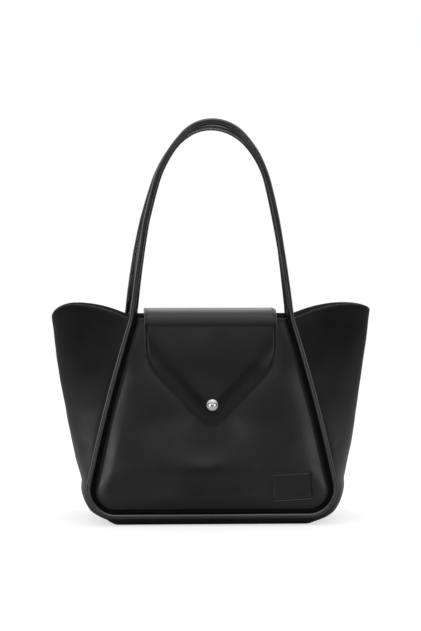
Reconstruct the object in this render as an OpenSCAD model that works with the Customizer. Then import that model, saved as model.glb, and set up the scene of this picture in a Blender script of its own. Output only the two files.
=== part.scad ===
// Trapeze bag: two panels, a folded gusset, two rolled handles and an envelope flap with a snap.
// +X is to the right, +Y to the back, +Z up. The origin is on the floor under the middle.

/* [Body] */
// Height of the front rim above the floor
rim_h = 252; // [200:1:320]
// How much higher the back rim is than the front rim
back_rise = 2.5; // [0:0.5:6]
// Height of the lowest run of the seams above the floor
seam_low = 14; // [12:0.5:20]
// Distance between the front and back seams at the base
base_depth = 128; // [100:1:170]
// Distance between the front and back seams at the rim
rim_depth = 92; // [76:1:110]
// Half width of the front seam at the rim
rim_half = 98; // [94:1:125]
// How much wider the back seam is at the rim, on each side
back_spread = 5; // [0:0.5:8]
// Where the side line of the seam would meet its bottom line
corner_half = 160; // [130:1:200]
// Radius of the seam's bottom corners
corner_r = 33; // [25:1:45]
// How far the side of the seam bows out of a straight line
side_bow = 2.6; // [0.5:0.1:4]

/* [Wings] */
// Half width of the bag at the tips of the wings
wing_half = 199; // [175:1:240]
// How far the gusset stands out of the seam at the lower corners
corner_bulge = 10; // [8:0.5:16]
// Height of the arch of the wing's edge over the seam
arch_rise = 17; // [8:1:24]
// Height of the wing's tip over the seam
tip_rise = 7.5; // [0:0.5:12]

/* [Leather] */
// Thickness of the panels
panel_t = 2; // [1.6:0.1:2.4]
// Thickness of the gusset
gusset_t = 2; // [1.6:0.1:2.4]
// Thickness of the skived edges that are turned in at a seam
edge_t = 1.2; // [0.8:0.1:1.4]
// How far the turned-in edges reach from the middle of the roll
edge_reach = 11; // [9:0.5:13]

/* [Rolls] */
// Outer radius of the rolled leather
roll_r = 3.1; // [2.8:0.1:3.6]
// Radius of the cord inside a roll
core_r = 2; // [1.6:0.1:2.2]
// Thickness of the two plies of a roll's stitched edge
flange_t = 2; // [1.6:0.1:2.2]
// Reach of a handle's stitched edge from the middle of the roll
handle_flange = 6.6; // [5:0.1:8]
// Turn of the piping's stitched edge out of the panel, in degrees
piping_turn = 50; // [45:1:55]
// Turn of a handle's stitched edge towards the inside, in degrees
handle_turn = 70; // [50:1:85]

/* [Handles] */
// Height of the middle of the front handle's top above the rim
handle_rise = 242.5; // [190:0.5:310]
// How much lower the back handle is at its top
back_drop = 2; // [0:0.5:5]
// Length of a handle's neck, which bends when the handle swings
neck_len = 11; // [8:0.5:14]
// Lean of a handle's leg where it leaves the rim, in degrees
leg_lean = 7; // [5:0.1:10]
// Lean where the leg turns into the shoulder, in degrees
shoulder_lean = 13; // [11:0.5:20]
// Lean where the shoulder turns into the top, in degrees
top_lean = 42; // [36:1:60]
// Radius of the leg's long curve
leg_r = 1560; // [1200:10:2000]

/* [Flap] */
// Half width of the flap
flap_half = 80.5; // [70:0.5:82]
// Height of the flap's tip above the floor, measured along the panel
flap_tip = 121.5; // [90:1:150]
// Radius of the flap's tip
tip_r = 17; // [14:1:26]
// Radius of the flap's shoulders
shoulder_r = 36; // [24:1:46]
// Slope of the flap's lower edges, in degrees
edge_slope = 46; // [40:1:52]
// Thickness of the flap's outer leather
flap_t = 1.3; // [1:0.1:1.6]
// Thickness of the flap's lining
lining_t = 1; // [0.8:0.1:1.2]
// Gap between the front panel and the closed flap
flap_gap = 4; // [3.8:0.1:5]
// Inner radius of the flap's front bend
front_bend_r = 8; // [7:0.5:10]
// Inner radius of the flap's back bend
back_bend_r = 8; // [7.5:0.1:11]
// Radius of the flap's arch over the bag's mouth
arch_r = 240; // [160:10:400]
// Length of the flap's tail on the back panel
tail_len = 46; // [30:1:70]
// Radius of the tail's corners
tail_corner = 14; // [6:1:24]

/* [Snap] */
// Height of the snap above the floor, measured along the panel
snap_z = 147; // [140:0.5:160]
// Radius of the snap's cap
cap_r = 6.95; // [6:0.05:8]
// Height of the cap's dome
cap_h = 2.2; // [1.6:0.1:2.8]
// Radius of the snap's posts
post_r = 1.5; // [1.2:0.1:1.8]
// Radius of the socket
socket_r = 6.4; // [6:0.1:7]
// Wall of the socket
socket_wall = 0.5; // [0.4:0.05:0.6]
// Radius of the mouth of the socket
mouth_r = 3.4; // [3.2:0.1:3.8]
// Radius of the stud's nipple at its root
nipple_r = 2.6; // [2.2:0.1:2.8]
// How far the nipple stands out of the stud's disc
nipple_h = 1.4; // [1:0.1:1.5]
// Thickness of the stud's disc and of the rivet's head
disc_t = 0.8; // [0.6:0.1:1]

/* [Fits] */
// Clearance between soft pieces
soft_gap = 0.3; // [0.2:0.05:0.4]
// Clearance between glued or clamped faces
glue_gap = 0.1; // [0.05:0.05:0.15]
// Clearance round a post or a core
bore_gap = 0.15; // [0.1:0.05:0.2]

/* [Hidden] */
$fn = 48;

// The panels lean in by this angle
tilt = atan((base_depth - rim_depth) / 2 / (rim_h - seam_low));
// Along a panel's plane, a height z is at plane_v(z)
function plane_v(z) = (z - seam_low) / cos(tilt);
front_v = plane_v(rim_h);
back_v = plane_v(rim_h + back_rise);
back_half = rim_half + back_spread;

// Puts children drawn in (across, up, out) onto the plane of the front seam
module front_plane() {
    translate([0, -base_depth / 2, seam_low]) rotate([90 - tilt, 0, 0]) children();
}

module back_plane() {
    mirror([0, 1, 0]) front_plane() children();
}

// A point (across, up, out) of the front seam's plane, in the bag's frame
function on_front(p) = [
    p[0],
    -base_depth / 2 + p[1] * sin(tilt) - p[2] * cos(tilt),
    seam_low + p[1] * cos(tilt) + p[2] * sin(tilt)
];
function flip_y(p) = [p[0], -p[1], p[2]];
function mix(a, b, k) = a * (1 - k) + b * k;
function ease(k) = k <= 0 ? 0 : k >= 1 ? 1 : k * k * (3 - 2 * k);
function unit(v) = v / norm(v);

// The seam's path: bottom line, corner arc, and a side arc that bows out
// Angles are those of the outward normal, from -90 at the bottom to the side's lean
function side_chord(half, top_v) = [half - corner_half, top_v];
function side_lean(half, top_v) = atan(-side_chord(half, top_v)[0] / top_v);
function corner_c(half, top_v) = [
    corner_half - corner_r * tan(45 + side_lean(half, top_v) / 2),
    corner_r
];
// The half angle that the side arc turns through
function bow_turn(half, top_v) = 2 * atan(2 * side_bow / (top_v - corner_r));
function side_a0(half, top_v) = side_lean(half, top_v) - bow_turn(half, top_v);
// The side arc leaves the corner arc at side_a0 and ends at the rim, at (half, top_v)
function side_start(half, top_v) =
    corner_c(half, top_v) + corner_r * dir(side_a0(half, top_v));
function dir(a) = [cos(a), sin(a)];
function side_r(half, top_v) =
    let (d = [half, top_v] - side_start(half, top_v), n = dir(side_a0(half, top_v)))
    -(d * d) / (2 * d * n);
function side_c(half, top_v) =
    side_start(half, top_v) - side_r(half, top_v) * dir(side_a0(half, top_v));
function side_a1(half, top_v) =
    let (d = [half, top_v] - side_c(half, top_v)) atan2(d[1], d[0]);

// Stations of the seam from the rim to the bottom centre, each [point, inward direction]
side_steps = 6;
corner_steps = 8;
bottom_steps = 2;
function seam(half, top_v) =
    let (sc = side_c(half, top_v), sr = side_r(half, top_v), cc = corner_c(half, top_v),
        a0 = side_a0(half, top_v), a1 = side_a1(half, top_v))
    concat(
        [for (i = [0 : side_steps - 1]) let (a = mix(a1, a0, i / side_steps))
            [sc + sr * dir(a), [-1 / cos(a), 0]]],
        [for (i = [0 : corner_steps]) let (a = mix(a0, -90, i / corner_steps))
            [cc + corner_r * dir(a), -dir(a)]],
        [for (i = [1 : bottom_steps])
            [[cc[0] * (1 - i / bottom_steps), 0], [0, 1]]]
    );
stations = side_steps + corner_steps + bottom_steps;

// Along the piping's stitched edge, and across it towards the panel, as (inward, out)
edge_dir = [cos(piping_turn), -sin(piping_turn)];
edge_side = [sin(piping_turn), cos(piping_turn)];
near_face = flange_t / 2 + soft_gap;
far_face = near_face + edge_t;
turn_in = roll_r + 1.9;

// A panel's edge, from its outer face round the turned-in edge to its inner face
panel_edge = [
    [turn_in + 3, panel_t / 2],
    [turn_in + 0.6, panel_t / 2 - 0.4],
    [turn_in - 0.5, panel_t / 2 - 1.7],
    edge_dir * turn_in + edge_side * near_face,
    edge_dir * edge_reach + edge_side * near_face,
    edge_dir * edge_reach + edge_side * far_face,
    edge_dir * (turn_in + 1.5) + edge_side * far_face,
    [turn_in + 2.6, -panel_t / 2]
];

module panel_shell(half, top_v) {
    right = seam(half, top_v);
    count = len(right);
    // From the right rim round the bottom to the left rim
    path = concat(right, [for (i = [count - 2 : -1 : 0])
        [[-right[i][0][0], right[i][0][1]], [-right[i][1][0], right[i][1][1]]]]);
    n = len(path);
    m = len(panel_edge);
    points = [for (q = path) for (e = panel_edge)
        let (p = q[0] + q[1] * e[0]) [p[0], p[1], e[1]]];
    faces = concat(
        [[for (i = [0 : n - 1]) i * m]],
        [[for (i = [n - 1 : -1 : 0]) i * m + m - 1]],
        [for (i = [0 : n - 2]) for (j = [0 : m - 2])
            [i * m + j, i * m + j + 1, (i + 1) * m + j + 1, (i + 1) * m + j]],
        [concat([for (j = [m - 1 : -1 : 0]) j], [for (j = [0 : m - 1]) (n - 1) * m + j])]
    );
    polyhedron(points = points, faces = faces, convexity = 6);
}

snap_v = plane_v(snap_z);
module snap_axis() {
    front_plane() translate([0, snap_v, 0]) children();
}

module front_panel() {
    color("#1d1d20") difference() {
        front_plane() panel_shell(rim_half, front_v);
        snap_axis() translate([0, 0, -panel_t]) cylinder(r = post_r + bore_gap, h = 2 * panel_t);
    }
}

module back_panel() {
    color("#1d1d20") back_plane() panel_shell(back_half, back_v);
}

// Where the gusset leaves the seam, as (inward, out) from the middle of the roll
fold_in = [0.9, -(roll_r + 0.9)];
fold_out = [-2.4, -(roll_r + 2.3)];
// The gusset's section at one station, from the front seam to the back seam.
// The bulge falls from the wing to the corner, and rises again to the flat base.
across = 12;
low_bulge = corner_bulge + 4;
wing_bulge = wing_half - gusset_t / 2 - (rim_half + back_half) / 2;
base_bulge = on_front([0, fold_out[0], fold_out[1]])[2] - gusset_t / 2 - fold_out[0];
function down_share(i) = i / side_steps;
function corner_share(i) = (i - side_steps) / corner_steps;
function bulge(i) =
    i <= side_steps ? mix(wing_bulge, low_bulge, down_share(i)) :
    i <= side_steps + corner_steps ?
        (corner_share(i) < 0.5 ? mix(low_bulge, corner_bulge, ease(corner_share(i) * 2))
            : mix(corner_bulge, base_bulge, ease(corner_share(i) * 2 - 1)))
    : base_bulge;
function out_dir(i) = let (a = -90 * ease(corner_share(i))) [cos(a), 0, sin(a)];
// The section's form is a soft V at the rim and a flat tray at the base
function flat_share(i) = 0.62 * ease((i - side_steps + 2) / (corner_steps + 1));
function power(i) = mix(1.1, 2, ease(i / (side_steps + 2)));
function soft_v(t, r) = (sqrt(t * t + r * r) - r) / (sqrt(1 + r * r) - r);
function form(i, t) =
    let (f = flat_share(i), k = max(0, (abs(t) - f) / (1 - f)))
    1 - pow(soft_v(k, 0.12), power(i));
// The rim of a wing rises in an arch from the seam and dips at the tip
arch_peak = 0.6;
function rim_rise(t) =
    let (k = 1 - abs(t))
    k < arch_peak ? arch_rise * (1 - pow((arch_peak - k) / arch_peak, 2))
        : arch_rise - (arch_rise - tip_rise) * pow((k - arch_peak) / (1 - arch_peak), 2);
function rise_share(i) = pow(max(0, 1 - i / 4), 2);

mid_face = near_face + edge_t / 2;
gusset_edge = [
    edge_dir * edge_reach - edge_side * mid_face,
    edge_dir * (turn_in + 1) - edge_side * mid_face,
    fold_in
];
function gusset_row(i, front, back) =
    let (front_edge = [for (p = ring(front[i], gusset_edge)) on_front(p)],
        back_edge = [for (p = ring(back[i], gusset_edge)) flip_y(on_front(p))],
        f = on_front(ring(front[i], [fold_out])[0]),
        b = flip_y(on_front(ring(back[i], [fold_out])[0])),
        d = out_dir(i), reach = bulge(i) + fold_out[0])
    concat(
        front_edge,
        [for (j = [0 : across]) let (t = 2 * j / across - 1)
            mix(f, b, j / across) + d * reach * form(i, t)
                + [0, 0, rim_rise(t) * rise_share(i)]],
        [for (k = [len(back_edge) - 1 : -1 : 0]) back_edge[k]]
    );

// The gusset's turned-in edges are skived
function gusset_half(j) = min(j, across + 2 * len(gusset_edge) - j) < len(gusset_edge)
    ? edge_t / 2 : gusset_t / 2;

// A closed sheet round a grid of points, with a half thickness for each of its columns
function grid_normal(g, i, j) =
    let (n = len(g) - 1, m = len(g[0]) - 1,
        a = g[min(i + 1, n)][j] - g[max(i - 1, 0)][j],
        b = g[i][min(j + 1, m)] - g[i][max(j - 1, 0)])
    unit(cross(a, b));
module sheet(g) {
    n = len(g);
    m = len(g[0]);
    top = [for (i = [0 : n - 1]) for (j = [0 : m - 1])
        g[i][j] + grid_normal(g, i, j) * gusset_half(j)];
    bottom = [for (i = [0 : n - 1]) for (j = [0 : m - 1])
        g[i][j] - grid_normal(g, i, j) * gusset_half(j)];
    o = n * m;
    faces = concat(
        [for (i = [0 : n - 2]) for (j = [0 : m - 2]) each [
            [i * m + j, (i + 1) * m + j, (i + 1) * m + j + 1],
            [i * m + j, (i + 1) * m + j + 1, i * m + j + 1],
            [o + i * m + j, o + (i + 1) * m + j + 1, o + (i + 1) * m + j],
            [o + i * m + j, o + i * m + j + 1, o + (i + 1) * m + j + 1]]],
        [for (i = [0 : n - 2]) each [
            [i * m, o + i * m, (i + 1) * m],
            [(i + 1) * m, o + i * m, o + (i + 1) * m],
            [i * m + m - 1, (i + 1) * m + m - 1, o + i * m + m - 1],
            [(i + 1) * m + m - 1, o + (i + 1) * m + m - 1, o + i * m + m - 1]]],
        [for (j = [0 : m - 2]) each [
            [j, j + 1, o + j],
            [j + 1, o + j + 1, o + j],
            [(n - 1) * m + j, o + (n - 1) * m + j, (n - 1) * m + j + 1],
            [(n - 1) * m + j + 1, o + (n - 1) * m + j, o + (n - 1) * m + j + 1]]]
    );
    polyhedron(points = concat(top, bottom), faces = faces, convexity = 8);
}

module gusset() {
    front = seam(rim_half, front_v);
    back = seam(back_half, back_v);
    grid = [for (i = [0 : stations]) gusset_row(i, front, back)];
    // The two gussets meet with a small gap at the bottom centre
    closed = [for (i = [0 : stations]) i < stations ? grid[i]
        : [for (p = grid[i]) [soft_gap / 2, p[1], p[2]]]];
    sheet(closed);
}

module right_gusset() {
    color("#161618") gusset();
}

module left_gusset() {
    color("#161618") mirror([1, 0, 0]) gusset();
}

tape_half = 12;
tape_t = 1;
module base_seam_tape() {
    tape_y = 0.5 * base_depth / 2;
    color("#2a2a2c") translate([-tape_half, -tape_y, gusset_t + glue_gap])
        cube([2 * tape_half, 2 * tape_y, tape_t]);
}

// The roll's section as (inward, out) points round its middle: a round part and two
// corners of the stitched edge, which points inward and is turned towards the inside
round_steps = 9;
function roll_section(reach, turn) =
    let (root = asin(flange_t / 2 / roll_r))
    concat(
        [for (i = [0 : round_steps]) roll_r * dir(mix(root, 360 - root, i / round_steps) - turn)],
        [for (side = [-1, 1]) reach * dir(-turn) + side * flange_t / 2 * dir(90 - turn)]
    );
function bore_section(turn) =
    let (root = asin(flange_t / 2 / roll_r))
    concat(
        [for (i = [0 : round_steps])
            (core_r + bore_gap) * dir(mix(root, 360 - root, i / round_steps) - turn)],
        [for (side = [-1, 1]) (core_r + bore_gap) * dir(side * root / 3 - turn)]
    );
core_section = [for (i = [0 : 7]) core_r * dir(i * 45)];

// Places a section's points at a station of a path in the seam's plane
function ring(q, section) =
    [for (e = section) let (p = q[0] + q[1] * e[0]) [p[0], p[1], e[1]]];
function mirrored(path) = [for (i = [len(path) - 2 : -1 : 0])
    [[-path[i][0][0], path[i][0][1]], [-path[i][1][0], path[i][1][1]]]];

module rod(path, sections) {
    n = len(path);
    m = len(sections[0]);
    polyhedron(
        points = [for (i = [0 : n - 1]) each ring(path[i], sections[i])],
        faces = concat(
            [[for (j = [0 : m - 1]) j], [for (j = [m - 1 : -1 : 0]) (n - 1) * m + j]],
            [for (i = [0 : n - 2]) for (j = [0 : m - 1]) let (k = (j + 1) % m)
                [i * m + j, (i + 1) * m + j, (i + 1) * m + k, i * m + k]]
        ),
        convexity = 10);
}

module cord(path) {
    rod(path, [for (q = path) core_section]);
}

module tube(path, outer, inner) {
    n = len(path);
    m = len(outer);
    o = n * m;
    end = (n - 1) * m;
    polyhedron(
        points = concat([for (q = path) each ring(q, outer)],
            [for (q = path) each ring(q, inner)]),
        faces = concat(
            [for (i = [0 : n - 2]) for (j = [0 : m - 1]) let (k = (j + 1) % m) each [
                [i * m + j, (i + 1) * m + j, (i + 1) * m + k, i * m + k],
                [o + i * m + j, o + i * m + k, o + (i + 1) * m + k, o + (i + 1) * m + j]]],
            [for (j = [0 : m - 1]) let (k = (j + 1) % m) each [
                [j, k, o + k, o + j],
                [end + j, o + end + j, o + end + k, end + k]]]
        ),
        convexity = 10);
}

function piping_path(half, top_v) =
    let (right = seam(half, top_v)) concat(right, mirrored(right));

module piping(half, top_v) {
    tube(piping_path(half, top_v), roll_section(edge_reach, piping_turn),
        bore_section(piping_turn));
}

module front_piping() {
    color("#242427") front_plane() piping(rim_half, front_v);
}

module back_piping() {
    color("#242427") back_plane() piping(back_half, back_v);
}

module front_piping_core() {
    color("#c9bfa8") front_plane() cord(piping_path(rim_half, front_v));
}

module back_piping_core() {
    color("#c9bfa8") back_plane() cord(piping_path(back_half, back_v));
}

// A handle turns about the middle of its neck
neck_inset = 0.75;
function pivot(half, top_v) = [half - neck_inset, top_v + neck_len / 2];
// The leg, shoulder and top arcs turn from the leg's lean to level
function leg_c(p) = p - leg_r * dir(leg_lean);
function leg_end(p) = leg_c(p) + leg_r * dir(shoulder_lean);
// Shoulder and top radii bring the arcs to the middle at the given height
function top_radius(p, v) =
    let (e = leg_end(p), a = cos(shoulder_lean) - cos(top_lean), b = cos(top_lean),
        c = sin(top_lean) - sin(shoulder_lean), d = 1 - sin(top_lean))
    (e[0] * c - (v - e[1]) * a) / (b * c - d * a);
function shoulder_radius(p, v) =
    (leg_end(p)[0] - top_radius(p, v) * cos(top_lean))
        / (cos(shoulder_lean) - cos(top_lean));
function shoulder_c(p, v) = leg_end(p) - shoulder_radius(p, v) * dir(shoulder_lean);

function arc_stations(c, r, a0, a1, n, first) = [for (i = [first : n])
    let (a = mix(a0, a1, i / n)) [c + r * dir(a), -dir(a)]];
leg_steps = 4;
shoulder_steps = 5;
top_steps = 5;
// The station where a handle's leg begins, above its neck
function leg_station(p, lift) =
    arc_stations(leg_c(p), leg_r, leg_lean + lift / leg_r * 180 / PI, shoulder_lean, 1, 0)[0];
// A handle's path from the right leg over the top
function handle_path(p, v) =
    let (tr = top_radius(p, v),
        right = concat(
            [leg_station(p, neck_len / 2)],
            arc_stations(leg_c(p), leg_r, leg_lean, shoulder_lean, leg_steps, 1),
            arc_stations(shoulder_c(p, v), shoulder_radius(p, v), shoulder_lean, top_lean,
                shoulder_steps, 1),
            arc_stations([0, v - tr], tr, top_lean, 90, top_steps, 1)))
    concat(right, mirrored(right));

module handle(p, v) {
    tube(handle_path(p, v), roll_section(handle_flange, handle_turn),
        bore_section(handle_turn));
}

// A neck goes from the piping's end to the handle's leg, and its stitched edge narrows
neck_steps = 3;
module necks(half, top_v) {
    p = pivot(half, top_v);
    low = [[half, top_v + soft_gap], [-1, 0]];
    high = leg_station(p, neck_len / 2 - soft_gap);
    path = [for (i = [0 : neck_steps]) let (k = i / neck_steps)
        [mix(low[0], high[0], k), mix(low[1], high[1], k)]];
    sections = [for (i = [0 : neck_steps]) let (k = i / neck_steps)
        roll_section(mix(edge_reach, handle_flange, k), mix(piping_turn, handle_turn, k))];
    for (side = [0, 1]) mirror([side, 0, 0]) rod(path, sections);
}

front_pivot = pivot(rim_half, front_v);
back_pivot = pivot(back_half, back_v);
front_top = plane_v(rim_h + handle_rise);
back_top = plane_v(rim_h + handle_rise - back_drop);

module front_handle_necks() {
    color("#242427") front_plane() necks(rim_half, front_v);
}

module back_handle_necks() {
    color("#242427") back_plane() necks(back_half, back_v);
}

module front_handle() {
    color("#242427") front_plane() handle(front_pivot, front_top);
}

module back_handle() {
    color("#242427") back_plane() handle(back_pivot, back_top);
}

module front_handle_core() {
    color("#c9bfa8") front_plane() cord(handle_path(front_pivot, front_top));
}

module back_handle_core() {
    color("#c9bfa8") back_plane() cord(handle_path(back_pivot, back_top));
}

// The flap's side view, as (back, up): a drop on the front, a bend over each rim, and
// an arch between them. Radii are those of the inner face.
full_t = flap_t + lining_t + glue_gap;
// A bend's middle, as (back, up), with its inner face clear of the rim's outer corner and
// the flap's inner face at the given distance from the panel
rim_gap = 0.4;
tail_gap = 0.8;
function bend_c(top_v, r, gap) =
    let (out = panel_t / 2 + gap - r,
        down = sqrt(pow(r - rim_gap, 2) - pow(panel_t / 2 - out, 2)),
        p = on_front([0, top_v - down, out]))
    [p[1], p[2]];
front_c = bend_c(front_v, front_bend_r, flap_gap);
back_c = let (p = bend_c(back_v, back_bend_r, tail_gap)) [-p[0], p[1]];
// The arch touches both bends
arch_c = let (a = arch_r - front_bend_r, b = arch_r - back_bend_r, d = back_c - front_c,
    l = norm(d), x = (a * a - b * b + l * l) / (2 * l), h = sqrt(a * a - x * x), u = d / l)
    front_c + u * x + [u[1], -u[0]] * h;
front_touch = let (d = front_c - arch_c) atan2(d[1], d[0]);
back_touch = let (d = back_c - arch_c) atan2(d[1], d[0]);

// A slice of a ring between two angles, with inner radius r and the given thickness
module arc_slice(c, r, t, a0, a1) {
    big = (r + t) * 1.5;
    translate(c) intersection() {
        difference() {
            circle(r = r + t, $fn = 96);
            circle(r = r, $fn = 96);
        }
        polygon([[0, 0], big * dir(a0), big * dir((a0 + a1) / 2), big * dir(a1)]);
    }
}

// Extrudes a (back, up) outline across the flap's width
module flap_wide() {
    translate([-flap_half, 0, 0]) rotate([90, 0, 90]) linear_extrude(2 * flap_half) children();
}

front_low = 180 - tilt;
// Small gaps part the pieces of the flap where it bends
bend_gap = 2;
module top_outline(from, thick) {
    arc_slice(arch_c, arch_r + from, thick, back_touch, front_touch);
}

// The drop goes down from the front bend, parallel to the panel
drop_gap = 0.4;
module front_outline(from, thick) {
    drop_len = front_v - tip_v + panel_t;
    translate(front_c) rotate(90 - tilt)
        translate([-drop_len, front_bend_r + from]) square([drop_len - drop_gap, thick]);
}

function arc_points(c, r, a0, a1, n) = [for (i = [0 : n]) c + r * dir(mix(a0, a1, i / n))];
tip_v = plane_v(flap_tip);
shoulder_x = flap_half - shoulder_r;
shoulder_v = tip_v + tip_r + (shoulder_r - tip_r + shoulder_x * sin(edge_slope)) / cos(edge_slope);
over_rim = 40;
module envelope() {
    polygon(concat(
        [[flap_half, front_v + over_rim]],
        arc_points([shoulder_x, shoulder_v], shoulder_r, 0, edge_slope - 90, 12),
        arc_points([0, tip_v + tip_r], tip_r, edge_slope - 90, -90 - edge_slope, 12),
        arc_points([-shoulder_x, shoulder_v], shoulder_r, -90 - edge_slope, -180, 12),
        [[-flap_half, front_v + over_rim]]
    ));
}

module envelope_cut(from, thick) {
    difference() {
        intersection() {
            flap_wide() front_outline(from, thick);
            front_plane() linear_extrude(over_rim) envelope();
        }
        snap_axis() cylinder(r = post_r + bore_gap, h = over_rim);
    }
}

module flap_front() {
    color("#202023") envelope_cut(lining_t + glue_gap, flap_t);
}

module flap_front_lining() {
    color("#2c2b2b") envelope_cut(0, lining_t);
}

module flap_top() {
    color("#202023") flap_wide() top_outline(lining_t + glue_gap, flap_t);
}

module flap_top_lining() {
    color("#2c2b2b") flap_wide() top_outline(0, lining_t);
}

module flap_front_bend() {
    color("#202023") flap_wide()
        arc_slice(front_c, front_bend_r, full_t, front_touch + bend_gap, front_low);
}

module flap_back_bend() {
    color("#202023") flap_wide()
        arc_slice(back_c, back_bend_r, full_t, tilt, back_touch - bend_gap);
}

module flap_tail() {
    color("#202023") intersection() {
        flap_wide() translate(back_c) rotate(tilt - 90)
            translate([drop_gap, back_bend_r]) square([tail_len, flap_t]);
        tail_shape();
    }
}

module tail_shape() {
    top = back_v + over_rim;
    low = back_v - tail_len;
    back_plane() linear_extrude(over_rim) polygon(concat(
        [[flap_half, top]],
        arc_points([flap_half - tail_corner, low + tail_corner], tail_corner, 0, -90, 8),
        arc_points([tail_corner - flap_half, low + tail_corner], tail_corner, -90, -180, 8),
        [[-flap_half, top]]
    ));
}

// The snap, on an axis that stands out of the front panel. Heights are from its plane.
panel_out = panel_t / 2;
lining_in = panel_out + flap_gap;
flap_out = lining_in + full_t;
socket_back = lining_in - glue_gap;
socket_front = panel_out + glue_gap + disc_t + soft_gap;
rivet_head = 0.4;

module snap_cap() {
    dome_r = (cap_r * cap_r + cap_h * cap_h) / (2 * cap_h);
    base = flap_out + glue_gap;
    low = socket_back - socket_wall - glue_gap - rivet_head;
    color("#c8c8cc") snap_axis() union() {
        translate([0, 0, base]) intersection() {
            translate([0, 0, cap_h - dome_r]) sphere(r = dome_r, $fn = 96);
            cylinder(r = cap_r, h = cap_h);
        }
        translate([0, 0, low]) cylinder(r = post_r, h = base - low + 0.1);
        translate([0, 0, low]) cylinder(r = post_r + 0.8, h = rivet_head);
    }
}

module snap_socket() {
    color("#9a9a9e") snap_axis() rotate_extrude() polygon([
        [mouth_r, socket_front],
        [socket_r, socket_front],
        [socket_r, socket_back],
        [post_r + bore_gap, socket_back],
        [post_r + bore_gap, socket_back - socket_wall],
        [socket_r - socket_wall, socket_back - socket_wall],
        [socket_r - socket_wall, socket_front + socket_wall],
        [mouth_r, socket_front + socket_wall]
    ]);
}

module snap_magnet() {
    low = socket_front + socket_wall + glue_gap;
    high = socket_back - socket_wall - glue_gap;
    color("#5a5a5e") snap_axis() translate([0, 0, low]) difference() {
        cylinder(r = socket_r - socket_wall - glue_gap, h = high - low);
        translate([0, 0, -1]) cylinder(r = mouth_r, h = high - low + 2);
    }
}

module snap_stud() {
    base = panel_out + glue_gap;
    color("#b4b4b8") snap_axis() difference() {
        union() {
            translate([0, 0, base]) cylinder(r = socket_r - 0.4, h = disc_t);
            translate([0, 0, base + disc_t]) cylinder(r1 = nipple_r, r2 = nipple_r - 0.6, h = nipple_h);
        }
        translate([0, 0, base - 1]) cylinder(r = post_r + bore_gap, h = 1 + disc_t + nipple_h / 2);
    }
}

module snap_stud_rivet() {
    back = -panel_out - glue_gap;
    color("#b4b4b8") snap_axis() union() {
        translate([0, 0, back - disc_t]) cylinder(r = socket_r - 1.4, h = disc_t);
        translate([0, 0, back - 0.1])
            cylinder(r = post_r, h = panel_out + glue_gap + disc_t + nipple_h / 2 - back);
    }
}

front_panel();
back_panel();
left_gusset();
right_gusset();
base_seam_tape();
front_piping();
front_piping_core();
back_piping();
back_piping_core();
front_handle_necks();
front_handle();
front_handle_core();
back_handle_necks();
back_handle();
back_handle_core();
flap_tail();
flap_back_bend();
flap_top();
flap_top_lining();
flap_front_bend();
flap_front();
flap_front_lining();
snap_cap();
snap_socket();
snap_magnet();
snap_stud();
snap_stud_rivet();
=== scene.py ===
import math

import bmesh
import bpy
import numpy as np
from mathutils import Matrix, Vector


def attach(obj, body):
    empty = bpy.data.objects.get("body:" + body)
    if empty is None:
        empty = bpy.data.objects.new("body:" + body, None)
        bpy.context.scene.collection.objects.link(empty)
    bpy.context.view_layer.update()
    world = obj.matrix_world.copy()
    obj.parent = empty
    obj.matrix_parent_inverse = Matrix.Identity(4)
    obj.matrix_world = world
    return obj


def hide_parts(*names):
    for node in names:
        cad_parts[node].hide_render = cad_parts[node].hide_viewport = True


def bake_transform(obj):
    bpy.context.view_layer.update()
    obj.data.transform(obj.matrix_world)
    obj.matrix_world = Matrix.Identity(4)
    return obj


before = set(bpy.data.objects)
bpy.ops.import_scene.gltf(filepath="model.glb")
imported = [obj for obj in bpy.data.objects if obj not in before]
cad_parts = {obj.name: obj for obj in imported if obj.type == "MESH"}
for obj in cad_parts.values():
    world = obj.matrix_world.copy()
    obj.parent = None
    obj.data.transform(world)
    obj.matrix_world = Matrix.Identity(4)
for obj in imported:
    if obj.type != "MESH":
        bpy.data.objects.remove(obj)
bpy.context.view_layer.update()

# Sizes in millimetres and angles in degrees. They repeat the CAD source's values, apart from
# SEAM_LOW, FLAP_HALF, TIP_R and SHOULDER_R, which follow the photograph more closely.
RIM_H, BACK_RISE, SEAM_LOW = 252.0, 2.5, 12.0
BASE_DEPTH, RIM_DEPTH = 128.0, 92.0
RIM_HALF, BACK_SPREAD = 98.0, 5.0
CORNER_HALF, CORNER_R, SIDE_BOW = 160.0, 33.0, 2.6
WING_HALF, CORNER_BULGE, ARCH_RISE, TIP_RISE = 199.0, 10.0, 17.0, 7.5
PANEL_T, GUSSET_T, EDGE_T, EDGE_REACH = 2.0, 2.0, 1.2, 11.0
ROLL_R, CORE_R, FLANGE_T, HANDLE_FLANGE = 3.1, 2.0, 2.0, 6.6
PIPING_TURN = 50.0
HANDLE_TOP, BACK_DROP, NECK_LEN, NECK_INSET = 494.5, 2.0, 11.0, 0.75
LEG_LEAN, SHOULDER_LEAN, TOP_LEAN, LEG_R = 7.0, 13.0, 42.0, 1560.0
FLAP_HALF, FLAP_TIP, TIP_R, SHOULDER_R, EDGE_SLOPE = 81.2, 121.5, 22.0, 54.0, 46.0
FLAP_T, LINING_T, GLUE_GAP, SOFT_GAP = 1.3, 1.0, 0.1, 0.3
FLAP_GAP, BACK_BEND_R = 4.0, 8.0
TAIL_LEN, TAIL_CORNER, RIM_GAP, TAIL_GAP = 46.0, 14.0, 0.4, 0.8
SNAP_Z, CAP_R, CAP_H = 147.0, 6.95, 2.2

# These are scene.py's own: the back handle's extra drop, the flap's front bend, how flat its back
# bend is, its height over the CAD's flap, and how far in its stitches run
BACK_LOWER = 1.5
SOFT_R, BACK_FLAT, FLAP_LOFT, STITCH_IN = 19.0, 0.78, 1.3, 3.1

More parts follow.
